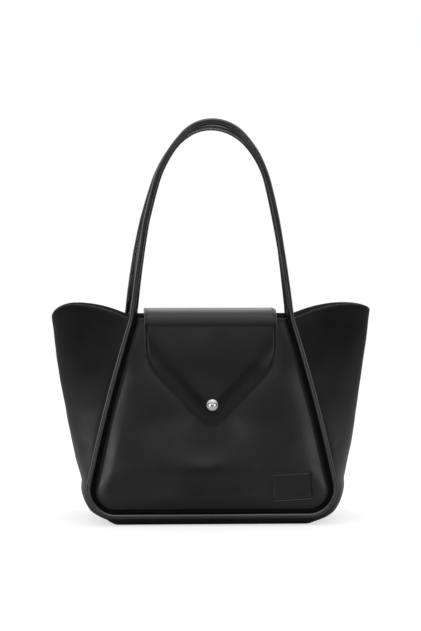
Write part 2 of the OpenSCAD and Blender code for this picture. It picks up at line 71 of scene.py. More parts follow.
MM = 0.001
TILT = math.atan((BASE_DEPTH - RIM_DEPTH) / 2 / (RIM_H - SEAM_LOW))
S, C = math.sin(TILT), math.cos(TILT)


def plane_v(z):
    return (z - SEAM_LOW) / C


FRONT_V, BACK_V = plane_v(RIM_H), plane_v(RIM_H + BACK_RISE)
BACK_HALF = RIM_HALF + BACK_SPREAD
SNAP_V = plane_v(SNAP_Z)


def on_plane(across, up, out, back=False):
    """Points of a seam's plane in the bag's frame. The back plane is the front one mirrored."""
    across, up, out = np.broadcast_arrays(*(np.asarray(v, float) for v in (across, up, out)))
    y = -BASE_DEPTH / 2 + up * S - out * C
    return np.stack([across, -y if back else y, SEAM_LOW + up * C + out * S], -1)


def off_plane(x, y, z, back=False):
    """The other way: across, up and out of points in the bag's frame."""
    y, z = (-y if back else y) + BASE_DEPTH / 2, z - SEAM_LOW
    return x, y * S + z * C, -y * C + z * S


def ease(k):
    k = np.clip(k, 0.0, 1.0)
    return k * k * (3 - 2 * k)


def step(v, start, end):
    """0 up to start and 1 from end on, eased between. End may lie below start."""
    return ease((v - start) / (end - start))


def mix(a, b, k):
    return a * (1 - k) + b * k


def unit_dir(a):
    a = np.radians(np.asarray(a, float))
    return np.stack([np.cos(a), np.sin(a)], -1)


def wave_noise(seed, size, *coords):
    """Smooth noise in about -1 to 1: a few sine waves of random directions."""
    waves, spread, full_turn, height = 7, 2.2, 6.28, 3.2
    rng = np.random.default_rng(seed)
    total = 0.0
    for _ in range(waves):
        k = rng.normal(size=len(coords)) / size * spread
        total = total + np.sin(sum(c * w for c, w in zip(coords, k)) + rng.uniform(0, full_turn))
    return total / height


def running_length(points):
    """The length along a line of points, from 0 at its start."""
    return np.concatenate([[0], np.cumsum(np.linalg.norm(np.diff(points, axis=0), axis=1))])


def follow(at, lengths, points):
    """Points of a line at lengths along it."""
    return np.stack([np.interp(at, lengths, points[:, k]) for k in (0, 1)], -1)


def mirrored(points, skip=0):
    """A half outline and its mirror image as one line, leaving out skip points where they meet."""
    return np.concatenate([points, points[::-1][skip:] * [-1, 1]])


# The seam's path. Station 0 is at the rim, the others at the side's end, the corner's end and the
# middle of the base. Down to LEVEL_TO an inward step is level.
SIDE_END, CORNER_END, MIDDLE, LEVEL_TO = 6, 14, 16, 3


class Seam:
    """The seam of one panel: a side arc, a corner arc and a bottom line."""

    def __init__(self, half, top_v):
        self.half, self.top_v = half, top_v
        lean = math.degrees(math.atan((CORNER_HALF - half) / top_v))
        corner_x = CORNER_HALF - CORNER_R * math.tan(math.radians(45 + lean / 2))
        self.cc = np.array([corner_x, CORNER_R])
        self.a0 = lean - math.degrees(2 * math.atan(2 * SIDE_BOW / (top_v - CORNER_R)))
        start = self.cc + CORNER_R * unit_dir(self.a0)
        d, n = np.array([half, top_v]) - start, unit_dir(self.a0)
        self.sr = -(d @ d) / (2 * (d @ n))
        self.sc = start - self.sr * n
        e = np.array([half, top_v]) - self.sc
        self.a1 = math.degrees(math.atan2(e[1], e[0]))

    def at(self, i):
        """Point and inward direction at stations."""
        i = np.asarray(i, float)
        a_side = mix(self.a1, self.a0, np.clip(i / SIDE_END, 0, 1))
        a_corner = mix(self.a0, -90.0, np.clip((i - SIDE_END) / (CORNER_END - SIDE_END), 0, 1))
        side = self.sc + self.sr * unit_dir(a_side)
        corner = self.cc + CORNER_R * unit_dir(a_corner)
        k = np.clip((i - CORNER_END) / (MIDDLE - CORNER_END), 0, 1)
        bottom = np.stack([self.cc[0] * (1 - k), 0 * k], -1)
        point = np.where((i < CORNER_END)[..., None], corner, bottom)
        point = np.where((i < SIDE_END)[..., None], side, point)
        a = np.where(i < SIDE_END, a_side, a_corner)
        inward = -unit_dir(a)
        # Near the rim an inward step is level, further down it is square to the seam
        level = (1 - step(i, LEVEL_TO, SIDE_END)) * np.tan(np.radians(a))
        tangent = np.stack([inward[..., 1], -inward[..., 0]], -1)
        return point, inward + tangent * level[..., None]

    def length_table(self):
        """Stations in small steps, and the length along the seam at each."""
        i = np.linspace(0, MIDDLE, 100 * MIDDLE + 1)
        return i, running_length(self.at(i)[0])


FRONT, BACK = Seam(RIM_HALF, FRONT_V), Seam(BACK_HALF, BACK_V)


def in_scene(name, data):
    obj = bpy.data.objects.new(name, data)
    bpy.context.scene.collection.objects.link(obj)
    return obj


def smooth(mesh):
    mesh.polygons.foreach_set("use_smooth", np.ones(len(mesh.polygons), bool))


def make(name, verts, faces, materials, face_material=None):
    mesh = bpy.data.meshes.new(name)
    mesh.from_pydata((np.asarray(verts, float) * MM).tolist(), [], faces)
    for m in materials:
        mesh.materials.append(m)
    if face_material is not None:
        mesh.polygons.foreach_set("material_index", np.asarray(face_material, np.int32))
    smooth(mesh)
    mesh.validate()
    mesh.update()
    return in_scene(name, mesh)


def grid_faces(n, m, offset=0, close_i=False, close_j=False, flip=False):
    faces = []
    for i in range(n if close_i else n - 1):
        i2 = (i + 1) % n
        for j in range(m if close_j else m - 1):
            j2 = (j + 1) % m
            q = [offset + a * m + b for a, b in ((i, j), (i, j2), (i2, j2), (i2, j))]
            faces.append(q[::-1] if flip else q)
    return faces


class Builder:
    """Collects vertices, faces and material numbers for one piece."""

    def __init__(self):
        self.verts, self.faces, self.mats, self.count = [], [], [], 0

    def grid(self, points, mat=0, **options):
        """Adds a grid. mat is one material number, or a list of one for each face."""
        n, m = points.shape[:2]
        faces = grid_faces(n, m, self.count, **options)
        self.verts.append(np.asarray(points, float).reshape(-1, 3))
        self.count += n * m
        self.faces += faces
        self.mats += [mat] * len(faces) if isinstance(mat, int) else mat

    def done(self, name, materials, join=None):
        """The finished piece. Vertices nearer than join, in metres, become one."""
        obj = make(name, np.concatenate(self.verts), self.faces, materials, self.mats)
        if join:
            bm = bmesh.new()
            bm.from_mesh(obj.data)
            bmesh.ops.remove_doubles(bm, verts=bm.verts, dist=join)
            bmesh.ops.recalc_face_normals(bm, faces=bm.faces)
            bm.to_mesh(obj.data)
            bm.free()
        return obj


def grid_normals(g):
    n = np.cross(np.gradient(g, axis=0), np.gradient(g, axis=1))
    return n / np.maximum(np.linalg.norm(n, axis=-1, keepdims=True), 1e-9)


class Tree:
    """Short calls for building a node tree."""

    def __init__(self, owner, clear=False):
        owner.use_nodes = True
        self.tree = owner.node_tree
        if clear:
            self.tree.nodes.clear()

    def feed(self, socket, value):
        if isinstance(value, bpy.types.NodeSocket):
            self.tree.links.new(value, socket)
        else:
            socket.default_value = value

    def node(self, kind, inputs, **settings):
        """A new node. Each input gets a value, or the output that feeds it."""
        n = self.tree.nodes.new(kind)
        for key, value in settings.items():
            setattr(n, key, value)
        for key, value in inputs.items():
            self.feed(n.inputs[key], value)
        return n

    def math(self, operation, a, b):
        return self.node("ShaderNodeMath", {0: a, 1: b}, operation=operation).outputs[0]

    def ramp(self, value, low, high, to_low, to_high, kind="LINEAR"):
        n = self.node("ShaderNodeMapRange", {"Value": value, "From Min": low, "From Max": high,
                                             "To Min": to_low, "To Max": to_high})
        n.interpolation_type = kind
        return n.outputs[0]


class Material(Tree):
    """A material whose noises lie in the piece's own coordinates."""

    def __init__(self, name):
        self.mat = bpy.data.materials.new(name)
        super().__init__(self.mat)

    def coords(self):
        return self.node("ShaderNodeTexCoord", {}).outputs["Object"]

    def noise(self, scale, detail, rough):
        inputs = {"Vector": self.coords(), "Scale": scale, "Detail": detail, "Roughness": rough}
        return self.node("ShaderNodeTexNoise", inputs).outputs["Fac"]

    def cloud(self, noise, low, high):
        """A value that drifts from low to high over the middle of a noise's range."""
        return self.ramp(noise, 0.3, 0.7, low, high)

    def color(self, fac, dark, light):
        inputs = {0: fac, 6: (*dark, 1), 7: (*light, 1)}
        return self.node("ShaderNodeMix", inputs, data_type="RGBA").outputs[2]

    def bump(self, height, strength, distance, **normal):
        inputs = {"Height": height, "Strength": strength, "Distance": distance, **normal}
        return self.node("ShaderNodeBump", inputs).outputs["Normal"]

    def finish(self, **inputs):
        """Sets the surface's inputs. An underscore in a name stands for a space."""
        bsdf = self.tree.nodes["Principled BSDF"]
        for key, value in inputs.items():
            self.feed(bsdf.inputs[key.replace("_", " ")], value)


# A leather's noises, as (scale, detail, roughness), and its bumps' depths in metres
TONE, GLOSS, CREASES, WAVES = (14, 4, 0.55), (30, 3, 0.5), (420, 5, 0.6), (55, 2, 0.4)
PORE_SCALE, PORE_DEPTH, CREASE_DEPTH, WAVE_DEPTH = 1100, 0.0002, 0.0003, 0.0012
# Any other material's noises: its tone, its gloss and its bump's detail and roughness
SPOTS, SHINE, ROUGHCAST = (260, 3, 0.6), (180, 2, 0.5), (4, 0.6)


def leather(name, dark, light, rough, grain, specular):
    """Smooth finished leather: faint pores and creases, cloudy colour and gloss."""
    m = Material(name)
    pores = m.node("ShaderNodeTexVoronoi", {"Vector": m.coords(), "Scale": PORE_SCALE})
    fine = m.bump(pores.outputs["Distance"], 0.16 * grain, PORE_DEPTH)
    creases = m.bump(m.noise(*CREASES), 0.22 * grain, CREASE_DEPTH, Normal=fine)
    waves = m.bump(m.noise(*WAVES), 0.10 * grain, WAVE_DEPTH, Normal=creases)
    m.finish(Base_Color=m.color(m.cloud(m.noise(*TONE), 0, 1), dark, light),
             Roughness=m.cloud(m.noise(*GLOSS), *rough), Normal=waves,
             Specular_IOR_Level=specular)
    return m.mat


def plain(name, color, rough, metallic=0.0, bump=None, vary=0.0, specular=0.5):
    """Any other material. bump is (scale, strength), vary how much darker its spots are."""
    m = Material(name)
    darker = tuple(c * (1 - vary) for c in color)
    m.finish(Base_Color=m.color(m.noise(*SPOTS), darker, color), Metallic=metallic,
             Roughness=m.cloud(m.noise(*SHINE), rough * 0.85, min(1.0, rough * 1.15)),
             Specular_IOR_Level=specular)
    if bump:
        scale, strength = bump
        m.finish(Normal=m.bump(m.noise(scale, *ROUGHCAST), strength, CREASE_DEPTH))
    return m.mat


LEATHER = leather("black_leather", (0.0034, 0.0035, 0.0040), (0.0052, 0.0053, 0.0061),
                  (0.22, 0.28), grain=0.6, specular=0.42)
WING = leather("wing_leather", (0.0034, 0.0035, 0.0037), (0.0050, 0.0051, 0.0054),
               (0.28, 0.36), grain=0.8, specular=0.38)
ROLL = leather("roll_leather", (0.0048, 0.0049, 0.0054), (0.0072, 0.0073, 0.0080),
               (0.18, 0.26), grain=0.3, specular=0.85)
FLAP = leather("flap_leather", (0.0032, 0.0033, 0.0037), (0.0048, 0.0049, 0.0054),
               (0.20, 0.26), grain=0.6, specular=0.34)
PAINT = plain("edge_paint", (0.008, 0.008, 0.0085), 0.5, bump=(900, 0.2), vary=0.3,
              specular=0.3)
FLESH = plain("flesh_side", (0.045, 0.042, 0.040), 0.92, bump=(700, 0.8), vary=0.35)
LINING = plain("lining", (0.022, 0.021, 0.021), 0.72, bump=(500, 0.4), vary=0.25)
THREAD = plain("thread", (0.0028, 0.0028, 0.0030), 0.8, bump=(3000, 0.5), vary=0.3,
               specular=0.12)
# The same black edge paint as edge_paint, made lighter and glossier for the flap: a painted
# highlight along the flap's rim
LIT_FLAP_EDGE_PAINT = plain("flap_edge_paint_painted_highlight", (0.016, 0.016, 0.017), 0.30, bump=(900, 0.15), vary=0.3,
                  specular=0.8)
COTTON = plain("cotton_cord", (0.55, 0.49, 0.40), 0.9, bump=(1200, 0.8), vary=0.25)
NICKEL = plain("polished_nickel", (0.80, 0.78, 0.75), 0.17, 1.0, vary=0.04)
PLATED = plain("plated_metal", (0.62, 0.61, 0.60), 0.28, 1.0, bump=(1500, 0.08), vary=0.12)
MAGNET = plain("magnet", (0.16, 0.16, 0.165), 0.45, 0.8, bump=(1600, 0.3), vary=0.25)


# The rolls: piping and handle in one loop
def arc(c, r, a0, a1, step=1.0):
    n = max(2, int(abs(math.radians(a1 - a0)) * r / step) + 1)
    return np.asarray(c) + r * unit_dir(np.linspace(a0, a1, n))


def handle_half(seam, top):
    """The right half of a handle's line, from its neck to the middle of its top."""
    p = np.array([seam.half - NECK_INSET, seam.top_v + NECK_LEN / 2])
    leg_c = p - LEG_R * unit_dir(LEG_LEAN)
    e = leg_c + LEG_R * unit_dir(SHOULDER_LEAN)
    cs, ct = math.cos(math.radians(SHOULDER_LEAN)), math.cos(math.radians(TOP_LEAN))
    ss, st = math.sin(math.radians(SHOULDER_LEAN)), math.sin(math.radians(TOP_LEAN))
    top_r = (e[0] * (st - ss) - (top - e[1]) * (cs - ct)) / (ct * (st - ss) - (1 - st) * (cs - ct))
    shoulder_r = (e[0] - top_r * ct) / (cs - ct)
    shoulder_c = e - shoulder_r * unit_dir(SHOULDER_LEAN)
    start = LEG_LEAN + math.degrees(NECK_LEN / 2 / LEG_R)
    return np.concatenate([
        arc(leg_c, LEG_R, start, SHOULDER_LEAN),
        arc(shoulder_c, shoulder_r, SHOULDER_LEAN, TOP_LEAN)[1:],
        arc([0, top - top_r], top_r, TOP_LEAN, 90)[1:],
    ])


# How far each handle's legs stand to the right of their even line: height, left leg, right leg
FRONT_SHIFT = ((258, 275, 299, 336, 372, 397, 433, 458, 475, 500),
               (0, 0, -0.3, -0.7, -2.1, -1.3, 0.4, 1.8, 2.5, 1.5),
               (0, 0.2, 0.4, 1.0, 2.0, 2.1, 1.4, 1.7, 1.5, 0.8))
BACK_SHIFT = ((215, 256, 262, 271, 297, 335, 374, 399, 438, 463, 480, 500),
              (0, -1.8, -2.0, -2.2, -2.4, -2.5, -1.5, 0.5, 4.2, 5.2, 4.5, 1.5),
              (0, 0, 0, 0, 0, 0.4, 0.8, 0.8, 0.4, 0, 0, 0.5))


# A roll's stitched edge, by the way up the handle from the rim: its turn towards the inside of the
# bag, and its reach from the cord's middle
TURN_AT, TURN = (-14, 0, 14, 40, 85, 130, 200, 262, 330), (50, 44, 26, 36, 50, 42, 42, 50, 52)
REACH_AT, REACH = (-10, 0, 12), (EDGE_REACH, 9.0, HANDLE_FLANGE)
ROLL_STEP, NECK_SOFT, NECK_ROUNDS = 2.0, 16, 8


class Roll:
    """The loop of one roll: from the bottom's middle up the right seam, over and down again."""

    def __init__(self, seam, top, back):
        up_seam, _ = seam.at(np.linspace(MIDDLE, 0, 700))
        right = np.concatenate([up_seam, handle_half(seam, top)])
        loop = np.concatenate([right, right[-2:0:-1] * [-1, 1]])
        height, to_left, to_right = BACK_SHIFT if back else FRONT_SHIFT
        z = SEAM_LOW + loop[:, 1] * C
        side = ease(loop[:, 0] / 60 + 0.5)
        loop[:, 0] += mix(np.interp(z, height, to_left), np.interp(z, height, to_right), side)
        closed = np.concatenate([loop, loop[:1]])
        s = running_length(closed)
        n = int(round(s[-1] / ROLL_STEP))
        t = np.linspace(0, s[-1], n, endpoint=False)
        p = follow(t, s, closed)
        neck = np.abs(p[:, 1] - seam.top_v - NECK_LEN / 2) < NECK_SOFT
        for _ in range(NECK_ROUNDS):
            q = (np.roll(p, 1, 0) + np.roll(p, -1, 0)) / 2
            p[neck] = (p[neck] + q[neck]) / 2
        self.p, self.n, self.back, self.length = p, n, back, s[-1]
        d = np.roll(p, -1, 0) - np.roll(p, 1, 0)
        self.tangent = d / np.linalg.norm(d, axis=1, keepdims=True)
        self.inward = np.stack([-self.tangent[:, 1], self.tangent[:, 0]], -1)
        self.s = np.arange(n) * s[-1] / n
        # How far up the handle each station is, from the rim on its own side
        rim_s = self.s[np.argmax(p[:, 1] > seam.top_v)]
        self.h = np.minimum(self.s - rim_s, s[-1] - rim_s - self.s)
        self.turn = np.radians(np.interp(self.h, TURN_AT, TURN))
        self.reach = np.interp(self.h, REACH_AT, REACH)

    def place(self, inward, out):
        """Points at local (inward, out) of each station."""
        q = self.p[:, None, :] + self.inward[:, None, :] * inward[..., None]
        return on_plane(q[..., 0], q[..., 1], out, self.back)


# The two plies of a stitched edge, from the cord outwards: pinched at the cord and at the stitches,
# rounded at the cut edge. The first columns have a set place, the last lie a step from the edge.
PLY_AT, PLY_FROM_EDGE = (3.45, 3.9, 4.4, 4.9, 5.4), (0.75, 0.28, 0.0)
PLY_HALF = np.array([0.88, 0.84, 0.92, 0.80, 0.94, 0.98, 0.82, 0.35])


def roll_piece(roll, name, seed):
    """A roll's leather: round the cord, then the two plies of its stitched edge."""
    root = math.asin(FLANGE_T / 2 / ROLL_R) + 0.12
    angle = np.linspace(root, 2 * math.pi - root, 21)
    s, a = roll.s[:, None] + 0 * angle, angle[None, :] + 0 * roll.s[:, None]
    wrinkle = (1 + 0.010 * wave_noise(seed, 9.0, s, 6 * a)
               + 0.006 * wave_noise(seed + 1, 3.4, s, 4 * a))
    plies = [np.minimum(at, roll.reach - 1.2 + 0.05 * k) for k, at in enumerate(PLY_AT)]
    plies = np.stack(plies + [roll.reach - inset for inset in PLY_FROM_EDGE], 1)
    side = np.broadcast_to(PLY_HALF, plies.shape)
    a = np.concatenate([ROLL_R * np.cos(angle) * wrinkle, plies, plies[:, ::-1]], axis=1)
    b = np.concatenate([ROLL_R * np.sin(angle) * wrinkle, -side, side[:, ::-1]], axis=1)
    ct, st = np.cos(roll.turn)[:, None], np.sin(roll.turn)[:, None]
    grid = roll.place(a * ct + b * st, -a * st + b * ct)
    # The piping's ends meet at the bottom: a shallow groove round the roll
    groove = np.exp(-((np.minimum(roll.s, roll.length - roll.s) / 0.9) ** 2))
    centre = roll.place(np.zeros((roll.n, 1)), 0.0)
    grid = centre + (grid - centre) * (1 - 0.10 * groove)[:, None, None]
    # The two columns nearest the cut edge, on both plies, are painted
    m, first = grid.shape[1], len(angle) + len(PLY_HALF) - 2
    mats = [int(first <= k % m < first + 4) for k in range(roll.n * m)]
    bld = Builder()
    bld.grid(grid, mats, close_i=True, close_j=True, flip=not roll.back)
    return bld.done(name, [ROLL, PAINT], 0.000001)


STITCH_LEN, STITCH_SIDES = 2.9, 6


def capsule(radius):
    """A stitch lying along X, sunk a little at its ends, as (points, faces)."""
    xs = np.array([-0.5, -0.42, -0.2, 0.2, 0.42, 0.5]) * STITCH_LEN
    rs = np.array([0.35, 0.8, 1.0, 1.0, 0.8, 0.35]) * radius
    zs = np.array([-0.9, -0.35, 0.0, 0.0, -0.35, -0.9]) * radius
    angles, n = np.linspace(0, 2 * math.pi, STITCH_SIDES, endpoint=False), STITCH_SIDES
    pts = np.array([[x, r * math.cos(a), r * math.sin(a) + z]
                    for x, r, z in zip(xs, rs, zs) for a in angles])
    faces = grid_faces(len(xs), n, close_j=True)
    faces += [list(range(n))[::-1], [(len(xs) - 1) * n + k for k in range(n)]]
    return pts, faces


def stitches(name, places, radius):
    """One mesh of stitches. Each place is (point, along, normal)."""
    pts, faces = capsule(radius)
    verts, out = [], []
    for p, t, nrm in places:
        t = np.asarray(t) / np.linalg.norm(t)
        nrm = np.asarray(nrm) - t * np.dot(nrm, t)
        nrm = nrm / np.linalg.norm(nrm)
        side = np.cross(nrm, t)
        base = len(verts) * len(pts)
        verts.append(np.asarray(p) + pts[:, :1] * t + pts[:, 1:2] * side + pts[:, 2:] * nrm)
        out += [[base + k for k in f] for f in faces]
    return make(name, np.concatenate(verts), out, [THREAD])


def roll_stitches(roll, name):
    """Both faces of a handle's stitched edge carry a row of stitches beside the cord."""
    first, pitch, from_cord, above = 6.0, 4.2, 4.75, 0.86
    rising = np.flatnonzero(roll.h >= 0)
    places = []
    for half in (rising[rising < roll.n / 2], rising[rising >= roll.n / 2][::-1]):
        h = roll.h[half]
        keep = np.concatenate([[True], np.diff(h) > 0])
        half, h = half[keep], h[keep]
        for up in np.arange(first, roll.h.max(), pitch):
            k = half[int(np.interp(up, h, np.arange(len(h))))]
            st, ct = math.sin(roll.turn[k]), math.cos(roll.turn[k])
            for face in (-1, 1):
                out = -from_cord * st + face * above * ct
                q = roll.p[k] + roll.inward[k] * (from_cord * ct + face * above * st)
                at = on_plane(*q, out, roll.back)
                along = on_plane(*(q + roll.tangent[k]), out, roll.back) - at
                over = q + roll.inward[k] * face * st
                places.append((at, along, on_plane(*over, out + face * ct, roll.back) - at))
    return stitches(name, places, 0.30)


FRONT_ROLL = Roll(FRONT, plane_v(HANDLE_TOP), False)
BACK_ROLL = Roll(BACK, plane_v(HANDLE_TOP - BACK_DROP - BACK_LOWER), True)


def cord_piece(roll, name):
    """The cotton cord inside a roll."""
    angle = np.broadcast_to(np.linspace(0, 2 * math.pi, 10, endpoint=False), (roll.n, 10))
    grid = roll.place(CORE_R * np.cos(angle), CORE_R * np.sin(angle))
    bld = Builder()
    bld.grid(grid, close_i=True, close_j=True, flip=not roll.back)
    return bld.done(name, [COTTON])


# The panels. Stations are even along the seam: N_SIDE steps down a side to the middle of its
# corner, and N_BOTTOM along the rest.
N_SIDE, N_BOTTOM = 64, 76
EMBOSS_AT, EMBOSS_SIZE, EMBOSS_TURN = (97.0, plane_v(47.6)), (47.8, 31.2), 3.6
# Along and square to a seam's turned-in edges, and the near and far face of a panel's edge
EDGE_DIR = np.array([math.cos(math.radians(PIPING_TURN)), -math.sin(math.radians(PIPING_TURN))])
EDGE_SIDE = np.array([-EDGE_DIR[1], EDGE_DIR[0]])
NEAR, FAR = FLANGE_T / 2 + SOFT_GAP, FLANGE_T / 2 + SOFT_GAP + EDGE_T
# A panel's two faces from its edge inwards, as (inward, out). The outer face keeps this section
# for OWN_ROWS rows and then eases into the panel's height.
OUTER_ROWS = np.array([EDGE_DIR * a + EDGE_SIDE * NEAR for a in (EDGE_REACH, 8.5, 6)] + [
    (4.7, -3.4), (5.4, -2.7), (6.3, -1.7), (7.1, -0.7), (7.9, 0.2), (8.8, 0.95), (9.9, 1.5),
    (11.2, 2), (13.2, 2), (16, 2), (19, 2), (22, 2)])
OWN_ROWS = 8
INNER_ROWS = np.array([EDGE_DIR * a + EDGE_SIDE * b for a, b in (
    (EDGE_REACH, NEAR), (EDGE_REACH + 0.1, (NEAR + FAR) / 2), (EDGE_REACH, FAR),
    (8.5, FAR), (7, FAR))] + [(7.7, -PANEL_T / 2 - 0.8), (9.0, -PANEL_T / 2), (22, -PANEL_T / 2)])
# A cut edge is rounded through these angles
LIP = [math.pi * k / 6 for k in range(1, 6)]


def path_stations(seam):
    """Stations from the right rim to the middle of the base."""
    i, s = seam.length_table()
    mid_corner = np.interp((SIDE_END + CORNER_END) / 2, i, s)
    side = np.interp(np.linspace(0, mid_corner, N_SIDE + 1), s, i)
    bottom = np.interp(np.linspace(mid_corner, s[-1], N_BOTTOM // 2 + 1), s, i)
    return np.concatenate([side, bottom[1:]])


def emboss_depth(x, up):
    """A blind line pressed into the leather round a bare rectangle."""
    corner, deep, wide, lip_high, lip_at = 1.2, 0.75, 0.6, 0.22, 1.35
    a = math.radians(EMBOSS_TURN)
    dx, dy = x - EMBOSS_AT[0], up - EMBOSS_AT[1]
    u = dx * math.cos(a) + dy * math.sin(a)
    v = -dx * math.sin(a) + dy * math.cos(a)
    qx, qy = (np.abs(k) - (size / 2 - corner) for k, size in zip((u, v), EMBOSS_SIZE))
    d = np.hypot(np.maximum(qx, 0), np.maximum(qy, 0)) + np.minimum(np.maximum(qx, qy), 0) - corner
    groove = -deep * np.exp(-((d / wide) ** 2))
    return groove + lip_high * np.exp(-(((np.abs(d) - lip_at) / wide) ** 2))


def panel_rise(d, x, up, seam, seed, front):
    """Height of the leather over the panel's plane, by the distance from the seam."""
    edge_pad, pad, low_pad, edge = 0.45, 2.3, 1.0, 8
    crown, crown_x, crown_half, snap_r = 5.0, -12, 74, 30
    low = step(up, 60, 30)
    swell = 1 - np.exp(-np.maximum(d - edge, 0) / mix(13, 5, low))
    padding = edge_pad + mix(pad, low_pad, low) * swell
    if front:
        # The flap holds the leather down where it lies over the panel
        flap_edge = plane_v(FLAP_TIP) + np.abs(x) * math.tan(math.radians(EDGE_SLOPE))
        padding = padding * (1 - 0.7 * step(up - flap_edge, -22, 38) * step(np.abs(x), 100, 60))
    wobble = 0.16 * wave_noise(seed, 46, x, up) * step(d, 6, 26)
    # At the rim and round the snap the panel stays flat
    height = (padding + wobble) * (0.15 + 0.85 * step(seam.top_v - up, 0, 70))
    if front:
        height = height * (1 - np.exp(-((np.hypot(x, up - SNAP_V) / snap_r) ** 2)))
    middle = np.exp(-(((x - crown_x) / crown_half) ** 2))
    return height + crown * step(d, 6, 24) * step(up, 120, 54) * middle


def panel_piece(name, seam, back, seed):
    p, inward = seam.at(path_stations(seam))
    # The whole path, from the right rim to the left rim
    path, dirs = mirrored(p, 1), mirrored(inward, 1)
    outline = mirrored(seam.at(np.linspace(0, MIDDLE, 900))[0])

    def rise(x, up):
        q = np.stack([np.ravel(x), np.ravel(up)], -1)
        d = [np.sqrt(((part[:, None] - outline) ** 2).sum(-1)).min(1)
             for part in np.array_split(q, len(q) // 4000 + 1)]
        d = np.concatenate(d).reshape(np.shape(x))
        return PANEL_T / 2 + panel_rise(d, x, up, seam, seed, not back)

    def face(xy, out):
        return on_plane(xy[..., 0], xy[..., 1], out, back)

    ring = path + dirs * OUTER_ROWS[:, :1, None]
    k = step(OUTER_ROWS[:, :1], 8, 14)
    k[:OWN_ROWS] = 0
    ring_out = mix(OUTER_ROWS[:, 1:], rise(ring[..., 0], ring[..., 1]), k)
    # Inside the ring: a patch between its last row's four sides
    inner = ring[-1]
    top = np.linspace(inner[-1], inner[0], N_BOTTOM + 1)
    right, left = inner[:N_SIDE + 1], inner[::-1][:N_SIDE + 1]
    bottom = inner[N_SIDE:len(path) - N_SIDE][::-1]
    u = np.linspace(0, 1, N_BOTTOM + 1)[None, :, None]
    w = np.linspace(0, 1, N_SIDE + 1)[:, None, None]
    corners = mix(mix(left[0], right[0], u), mix(left[-1], right[-1], u), w)
    patch = mix(top, bottom, w) + left[:, None] * (1 - u) + right[:, None] * u - corners
    patch_out = rise(patch[..., 0], patch[..., 1])
    bld = Builder()
    ring3, patch3 = face(ring, ring_out), face(patch, patch_out)
    bld.grid(ring3)
    bld.grid(patch3)
    # The inner face: the turned-in edge, then flat
    bld.grid(face(path + dirs * INNER_ROWS[:, :1, None], INNER_ROWS[:, 1:]), 1)
    bld.grid(face(patch, -PANEL_T / 2), 1)
    # The cut rim, painted and rounded, along the outer face's top row and down each edge section
    rim = np.concatenate([ring3[3:, -1], patch3[0, 1:-1], ring3[3:, 0][::-1]])
    high = np.concatenate([ring_out[3:, -1], patch_out[0, 1:-1], ring_out[3:, 0][::-1]])
    low = np.minimum(high - 1.0, -PANEL_T / 2)
    x, up, _ = off_plane(*rim.T, back)
    mid, half = (high + low) / 2, (high - low) / 2
    lips = [on_plane(x, up + 0.55 * math.sin(a), mid + half * math.cos(a), back) for a in LIP]
    bld.grid(np.stack([rim, *lips, on_plane(x, up, low, back)], 0), 2, flip=True)
    return bld.done(name, [LEATHER, FLESH, PAINT], 0.00003)


def refine_emboss(obj):
    """Cuts the front panel's faces finely round the pressed rectangle and presses its line in."""
    bm = bmesh.new()
    bm.from_mesh(obj.data)

    def local(v):
        return off_plane(*(c / MM for c in v.co))

    def near(place, half_x, half_up):
        """Whether a place is on the outer face and near the rectangle."""
        x, up, out = place
        return out > 0.3 and abs(x - EMBOSS_AT[0]) < half_x and abs(up - EMBOSS_AT[1]) < half_up

    chosen = [f for f in bm.faces
              if f.material_index == 0 and near(np.mean([local(v) for v in f.verts], 0), 28, 20)]
    edges = list({e for f in chosen for e in f.edges})
    bmesh.ops.subdivide_edges(bm, edges=edges, cuts=5, use_grid_fill=True)
    for v in bm.verts:
        place = local(v)
        if near(place, 32, 24):
            x, up, out = place
            v.co = on_plane(x, up, out + emboss_depth(x, up)) * MM
    bm.to_mesh(obj.data)
    bm.free()
    smooth(obj.data)


# The gussets. Where one leaves its seam's edge and where its free leather starts, as (inward, out),
# and how soft the columns are round that fold
FOLD_IN, FOLD_OUT = np.array([0.9, -(ROLL_R + 0.9)]), np.array([-2.4, -(ROLL_R + 2.3)])
FOLD_SOFT, FOLD_HALF = (0.3, 0.6, 0.8, 0.7, 0.5, 0.25), (0.7, 0.85, 0.95)
BASE_DROP = on_plane(0, *FOLD_OUT)[2] - GUSSET_T / 2


def bulge(i):
    """How far the gusset stands off its seam at stations."""
    low = CORNER_BULGE + 4
    wing = WING_HALF - GUSSET_T / 2 - (RIM_HALF + BACK_HALF) / 2
    base = BASE_DROP - FOLD_OUT[0]
    k = (i - SIDE_END) / (CORNER_END - SIDE_END) * 2
    corner = np.where(k < 1, mix(low, CORNER_BULGE, ease(k)), mix(CORNER_BULGE, base, ease(k - 1)))
    corner = np.where(i <= CORNER_END, corner, base)
    return np.where(i <= SIDE_END, mix(wing, low, i / SIDE_END), corner)


def gusset_form(i, t):
    """A gusset's section, 0 at its seams (t is -1 and 1) and 1 at its fold.

    It is a soft V at the rim and grows flat towards the base.
    """
    flat, r = 0.90 * step(i, 5, CORNER_END), 0.12
    k = np.maximum(0, (np.abs(t) - flat) / (1 - flat))
    v = (np.sqrt(k * k + r * r) - r) / (math.sqrt(1 + r * r) - r)
    return 1 - v ** mix(1.1, 3.0, step(i, 2, 9))


def rim_rise(t, tip):
    """How far a wing's rim rises, from its arch to its two tips."""
    k, top, arch = 1 - np.abs(t), ARCH_RISE - 1, 0.6
    inner, outer = (arch - k) / arch, (k - arch) / (1 - arch)
    return np.where(k < arch, top * (1 - inner ** 2), top - (top - tip) * outer ** 2)


# The two sides are not quite alike: stations, and the reach that is added at each
RIGHT_FULLER = ((0, 3.6, 4.8, 6.0, 7.5, 10, 12, 13, 14),
                (1.0, 1.0, 3.0, 1.4, 1.2, 2.2, -1.5, -2.0, 0))
LEFT_FULLER = ((0, 1.5, 4, 5.2, 6.2, 7.2, 10, 11.5, 12.6, 14),
               (-0.8, -0.2, -0.8, -1.8, -4.6, -3.4, -1.2, -3.8, -4.5, 0))


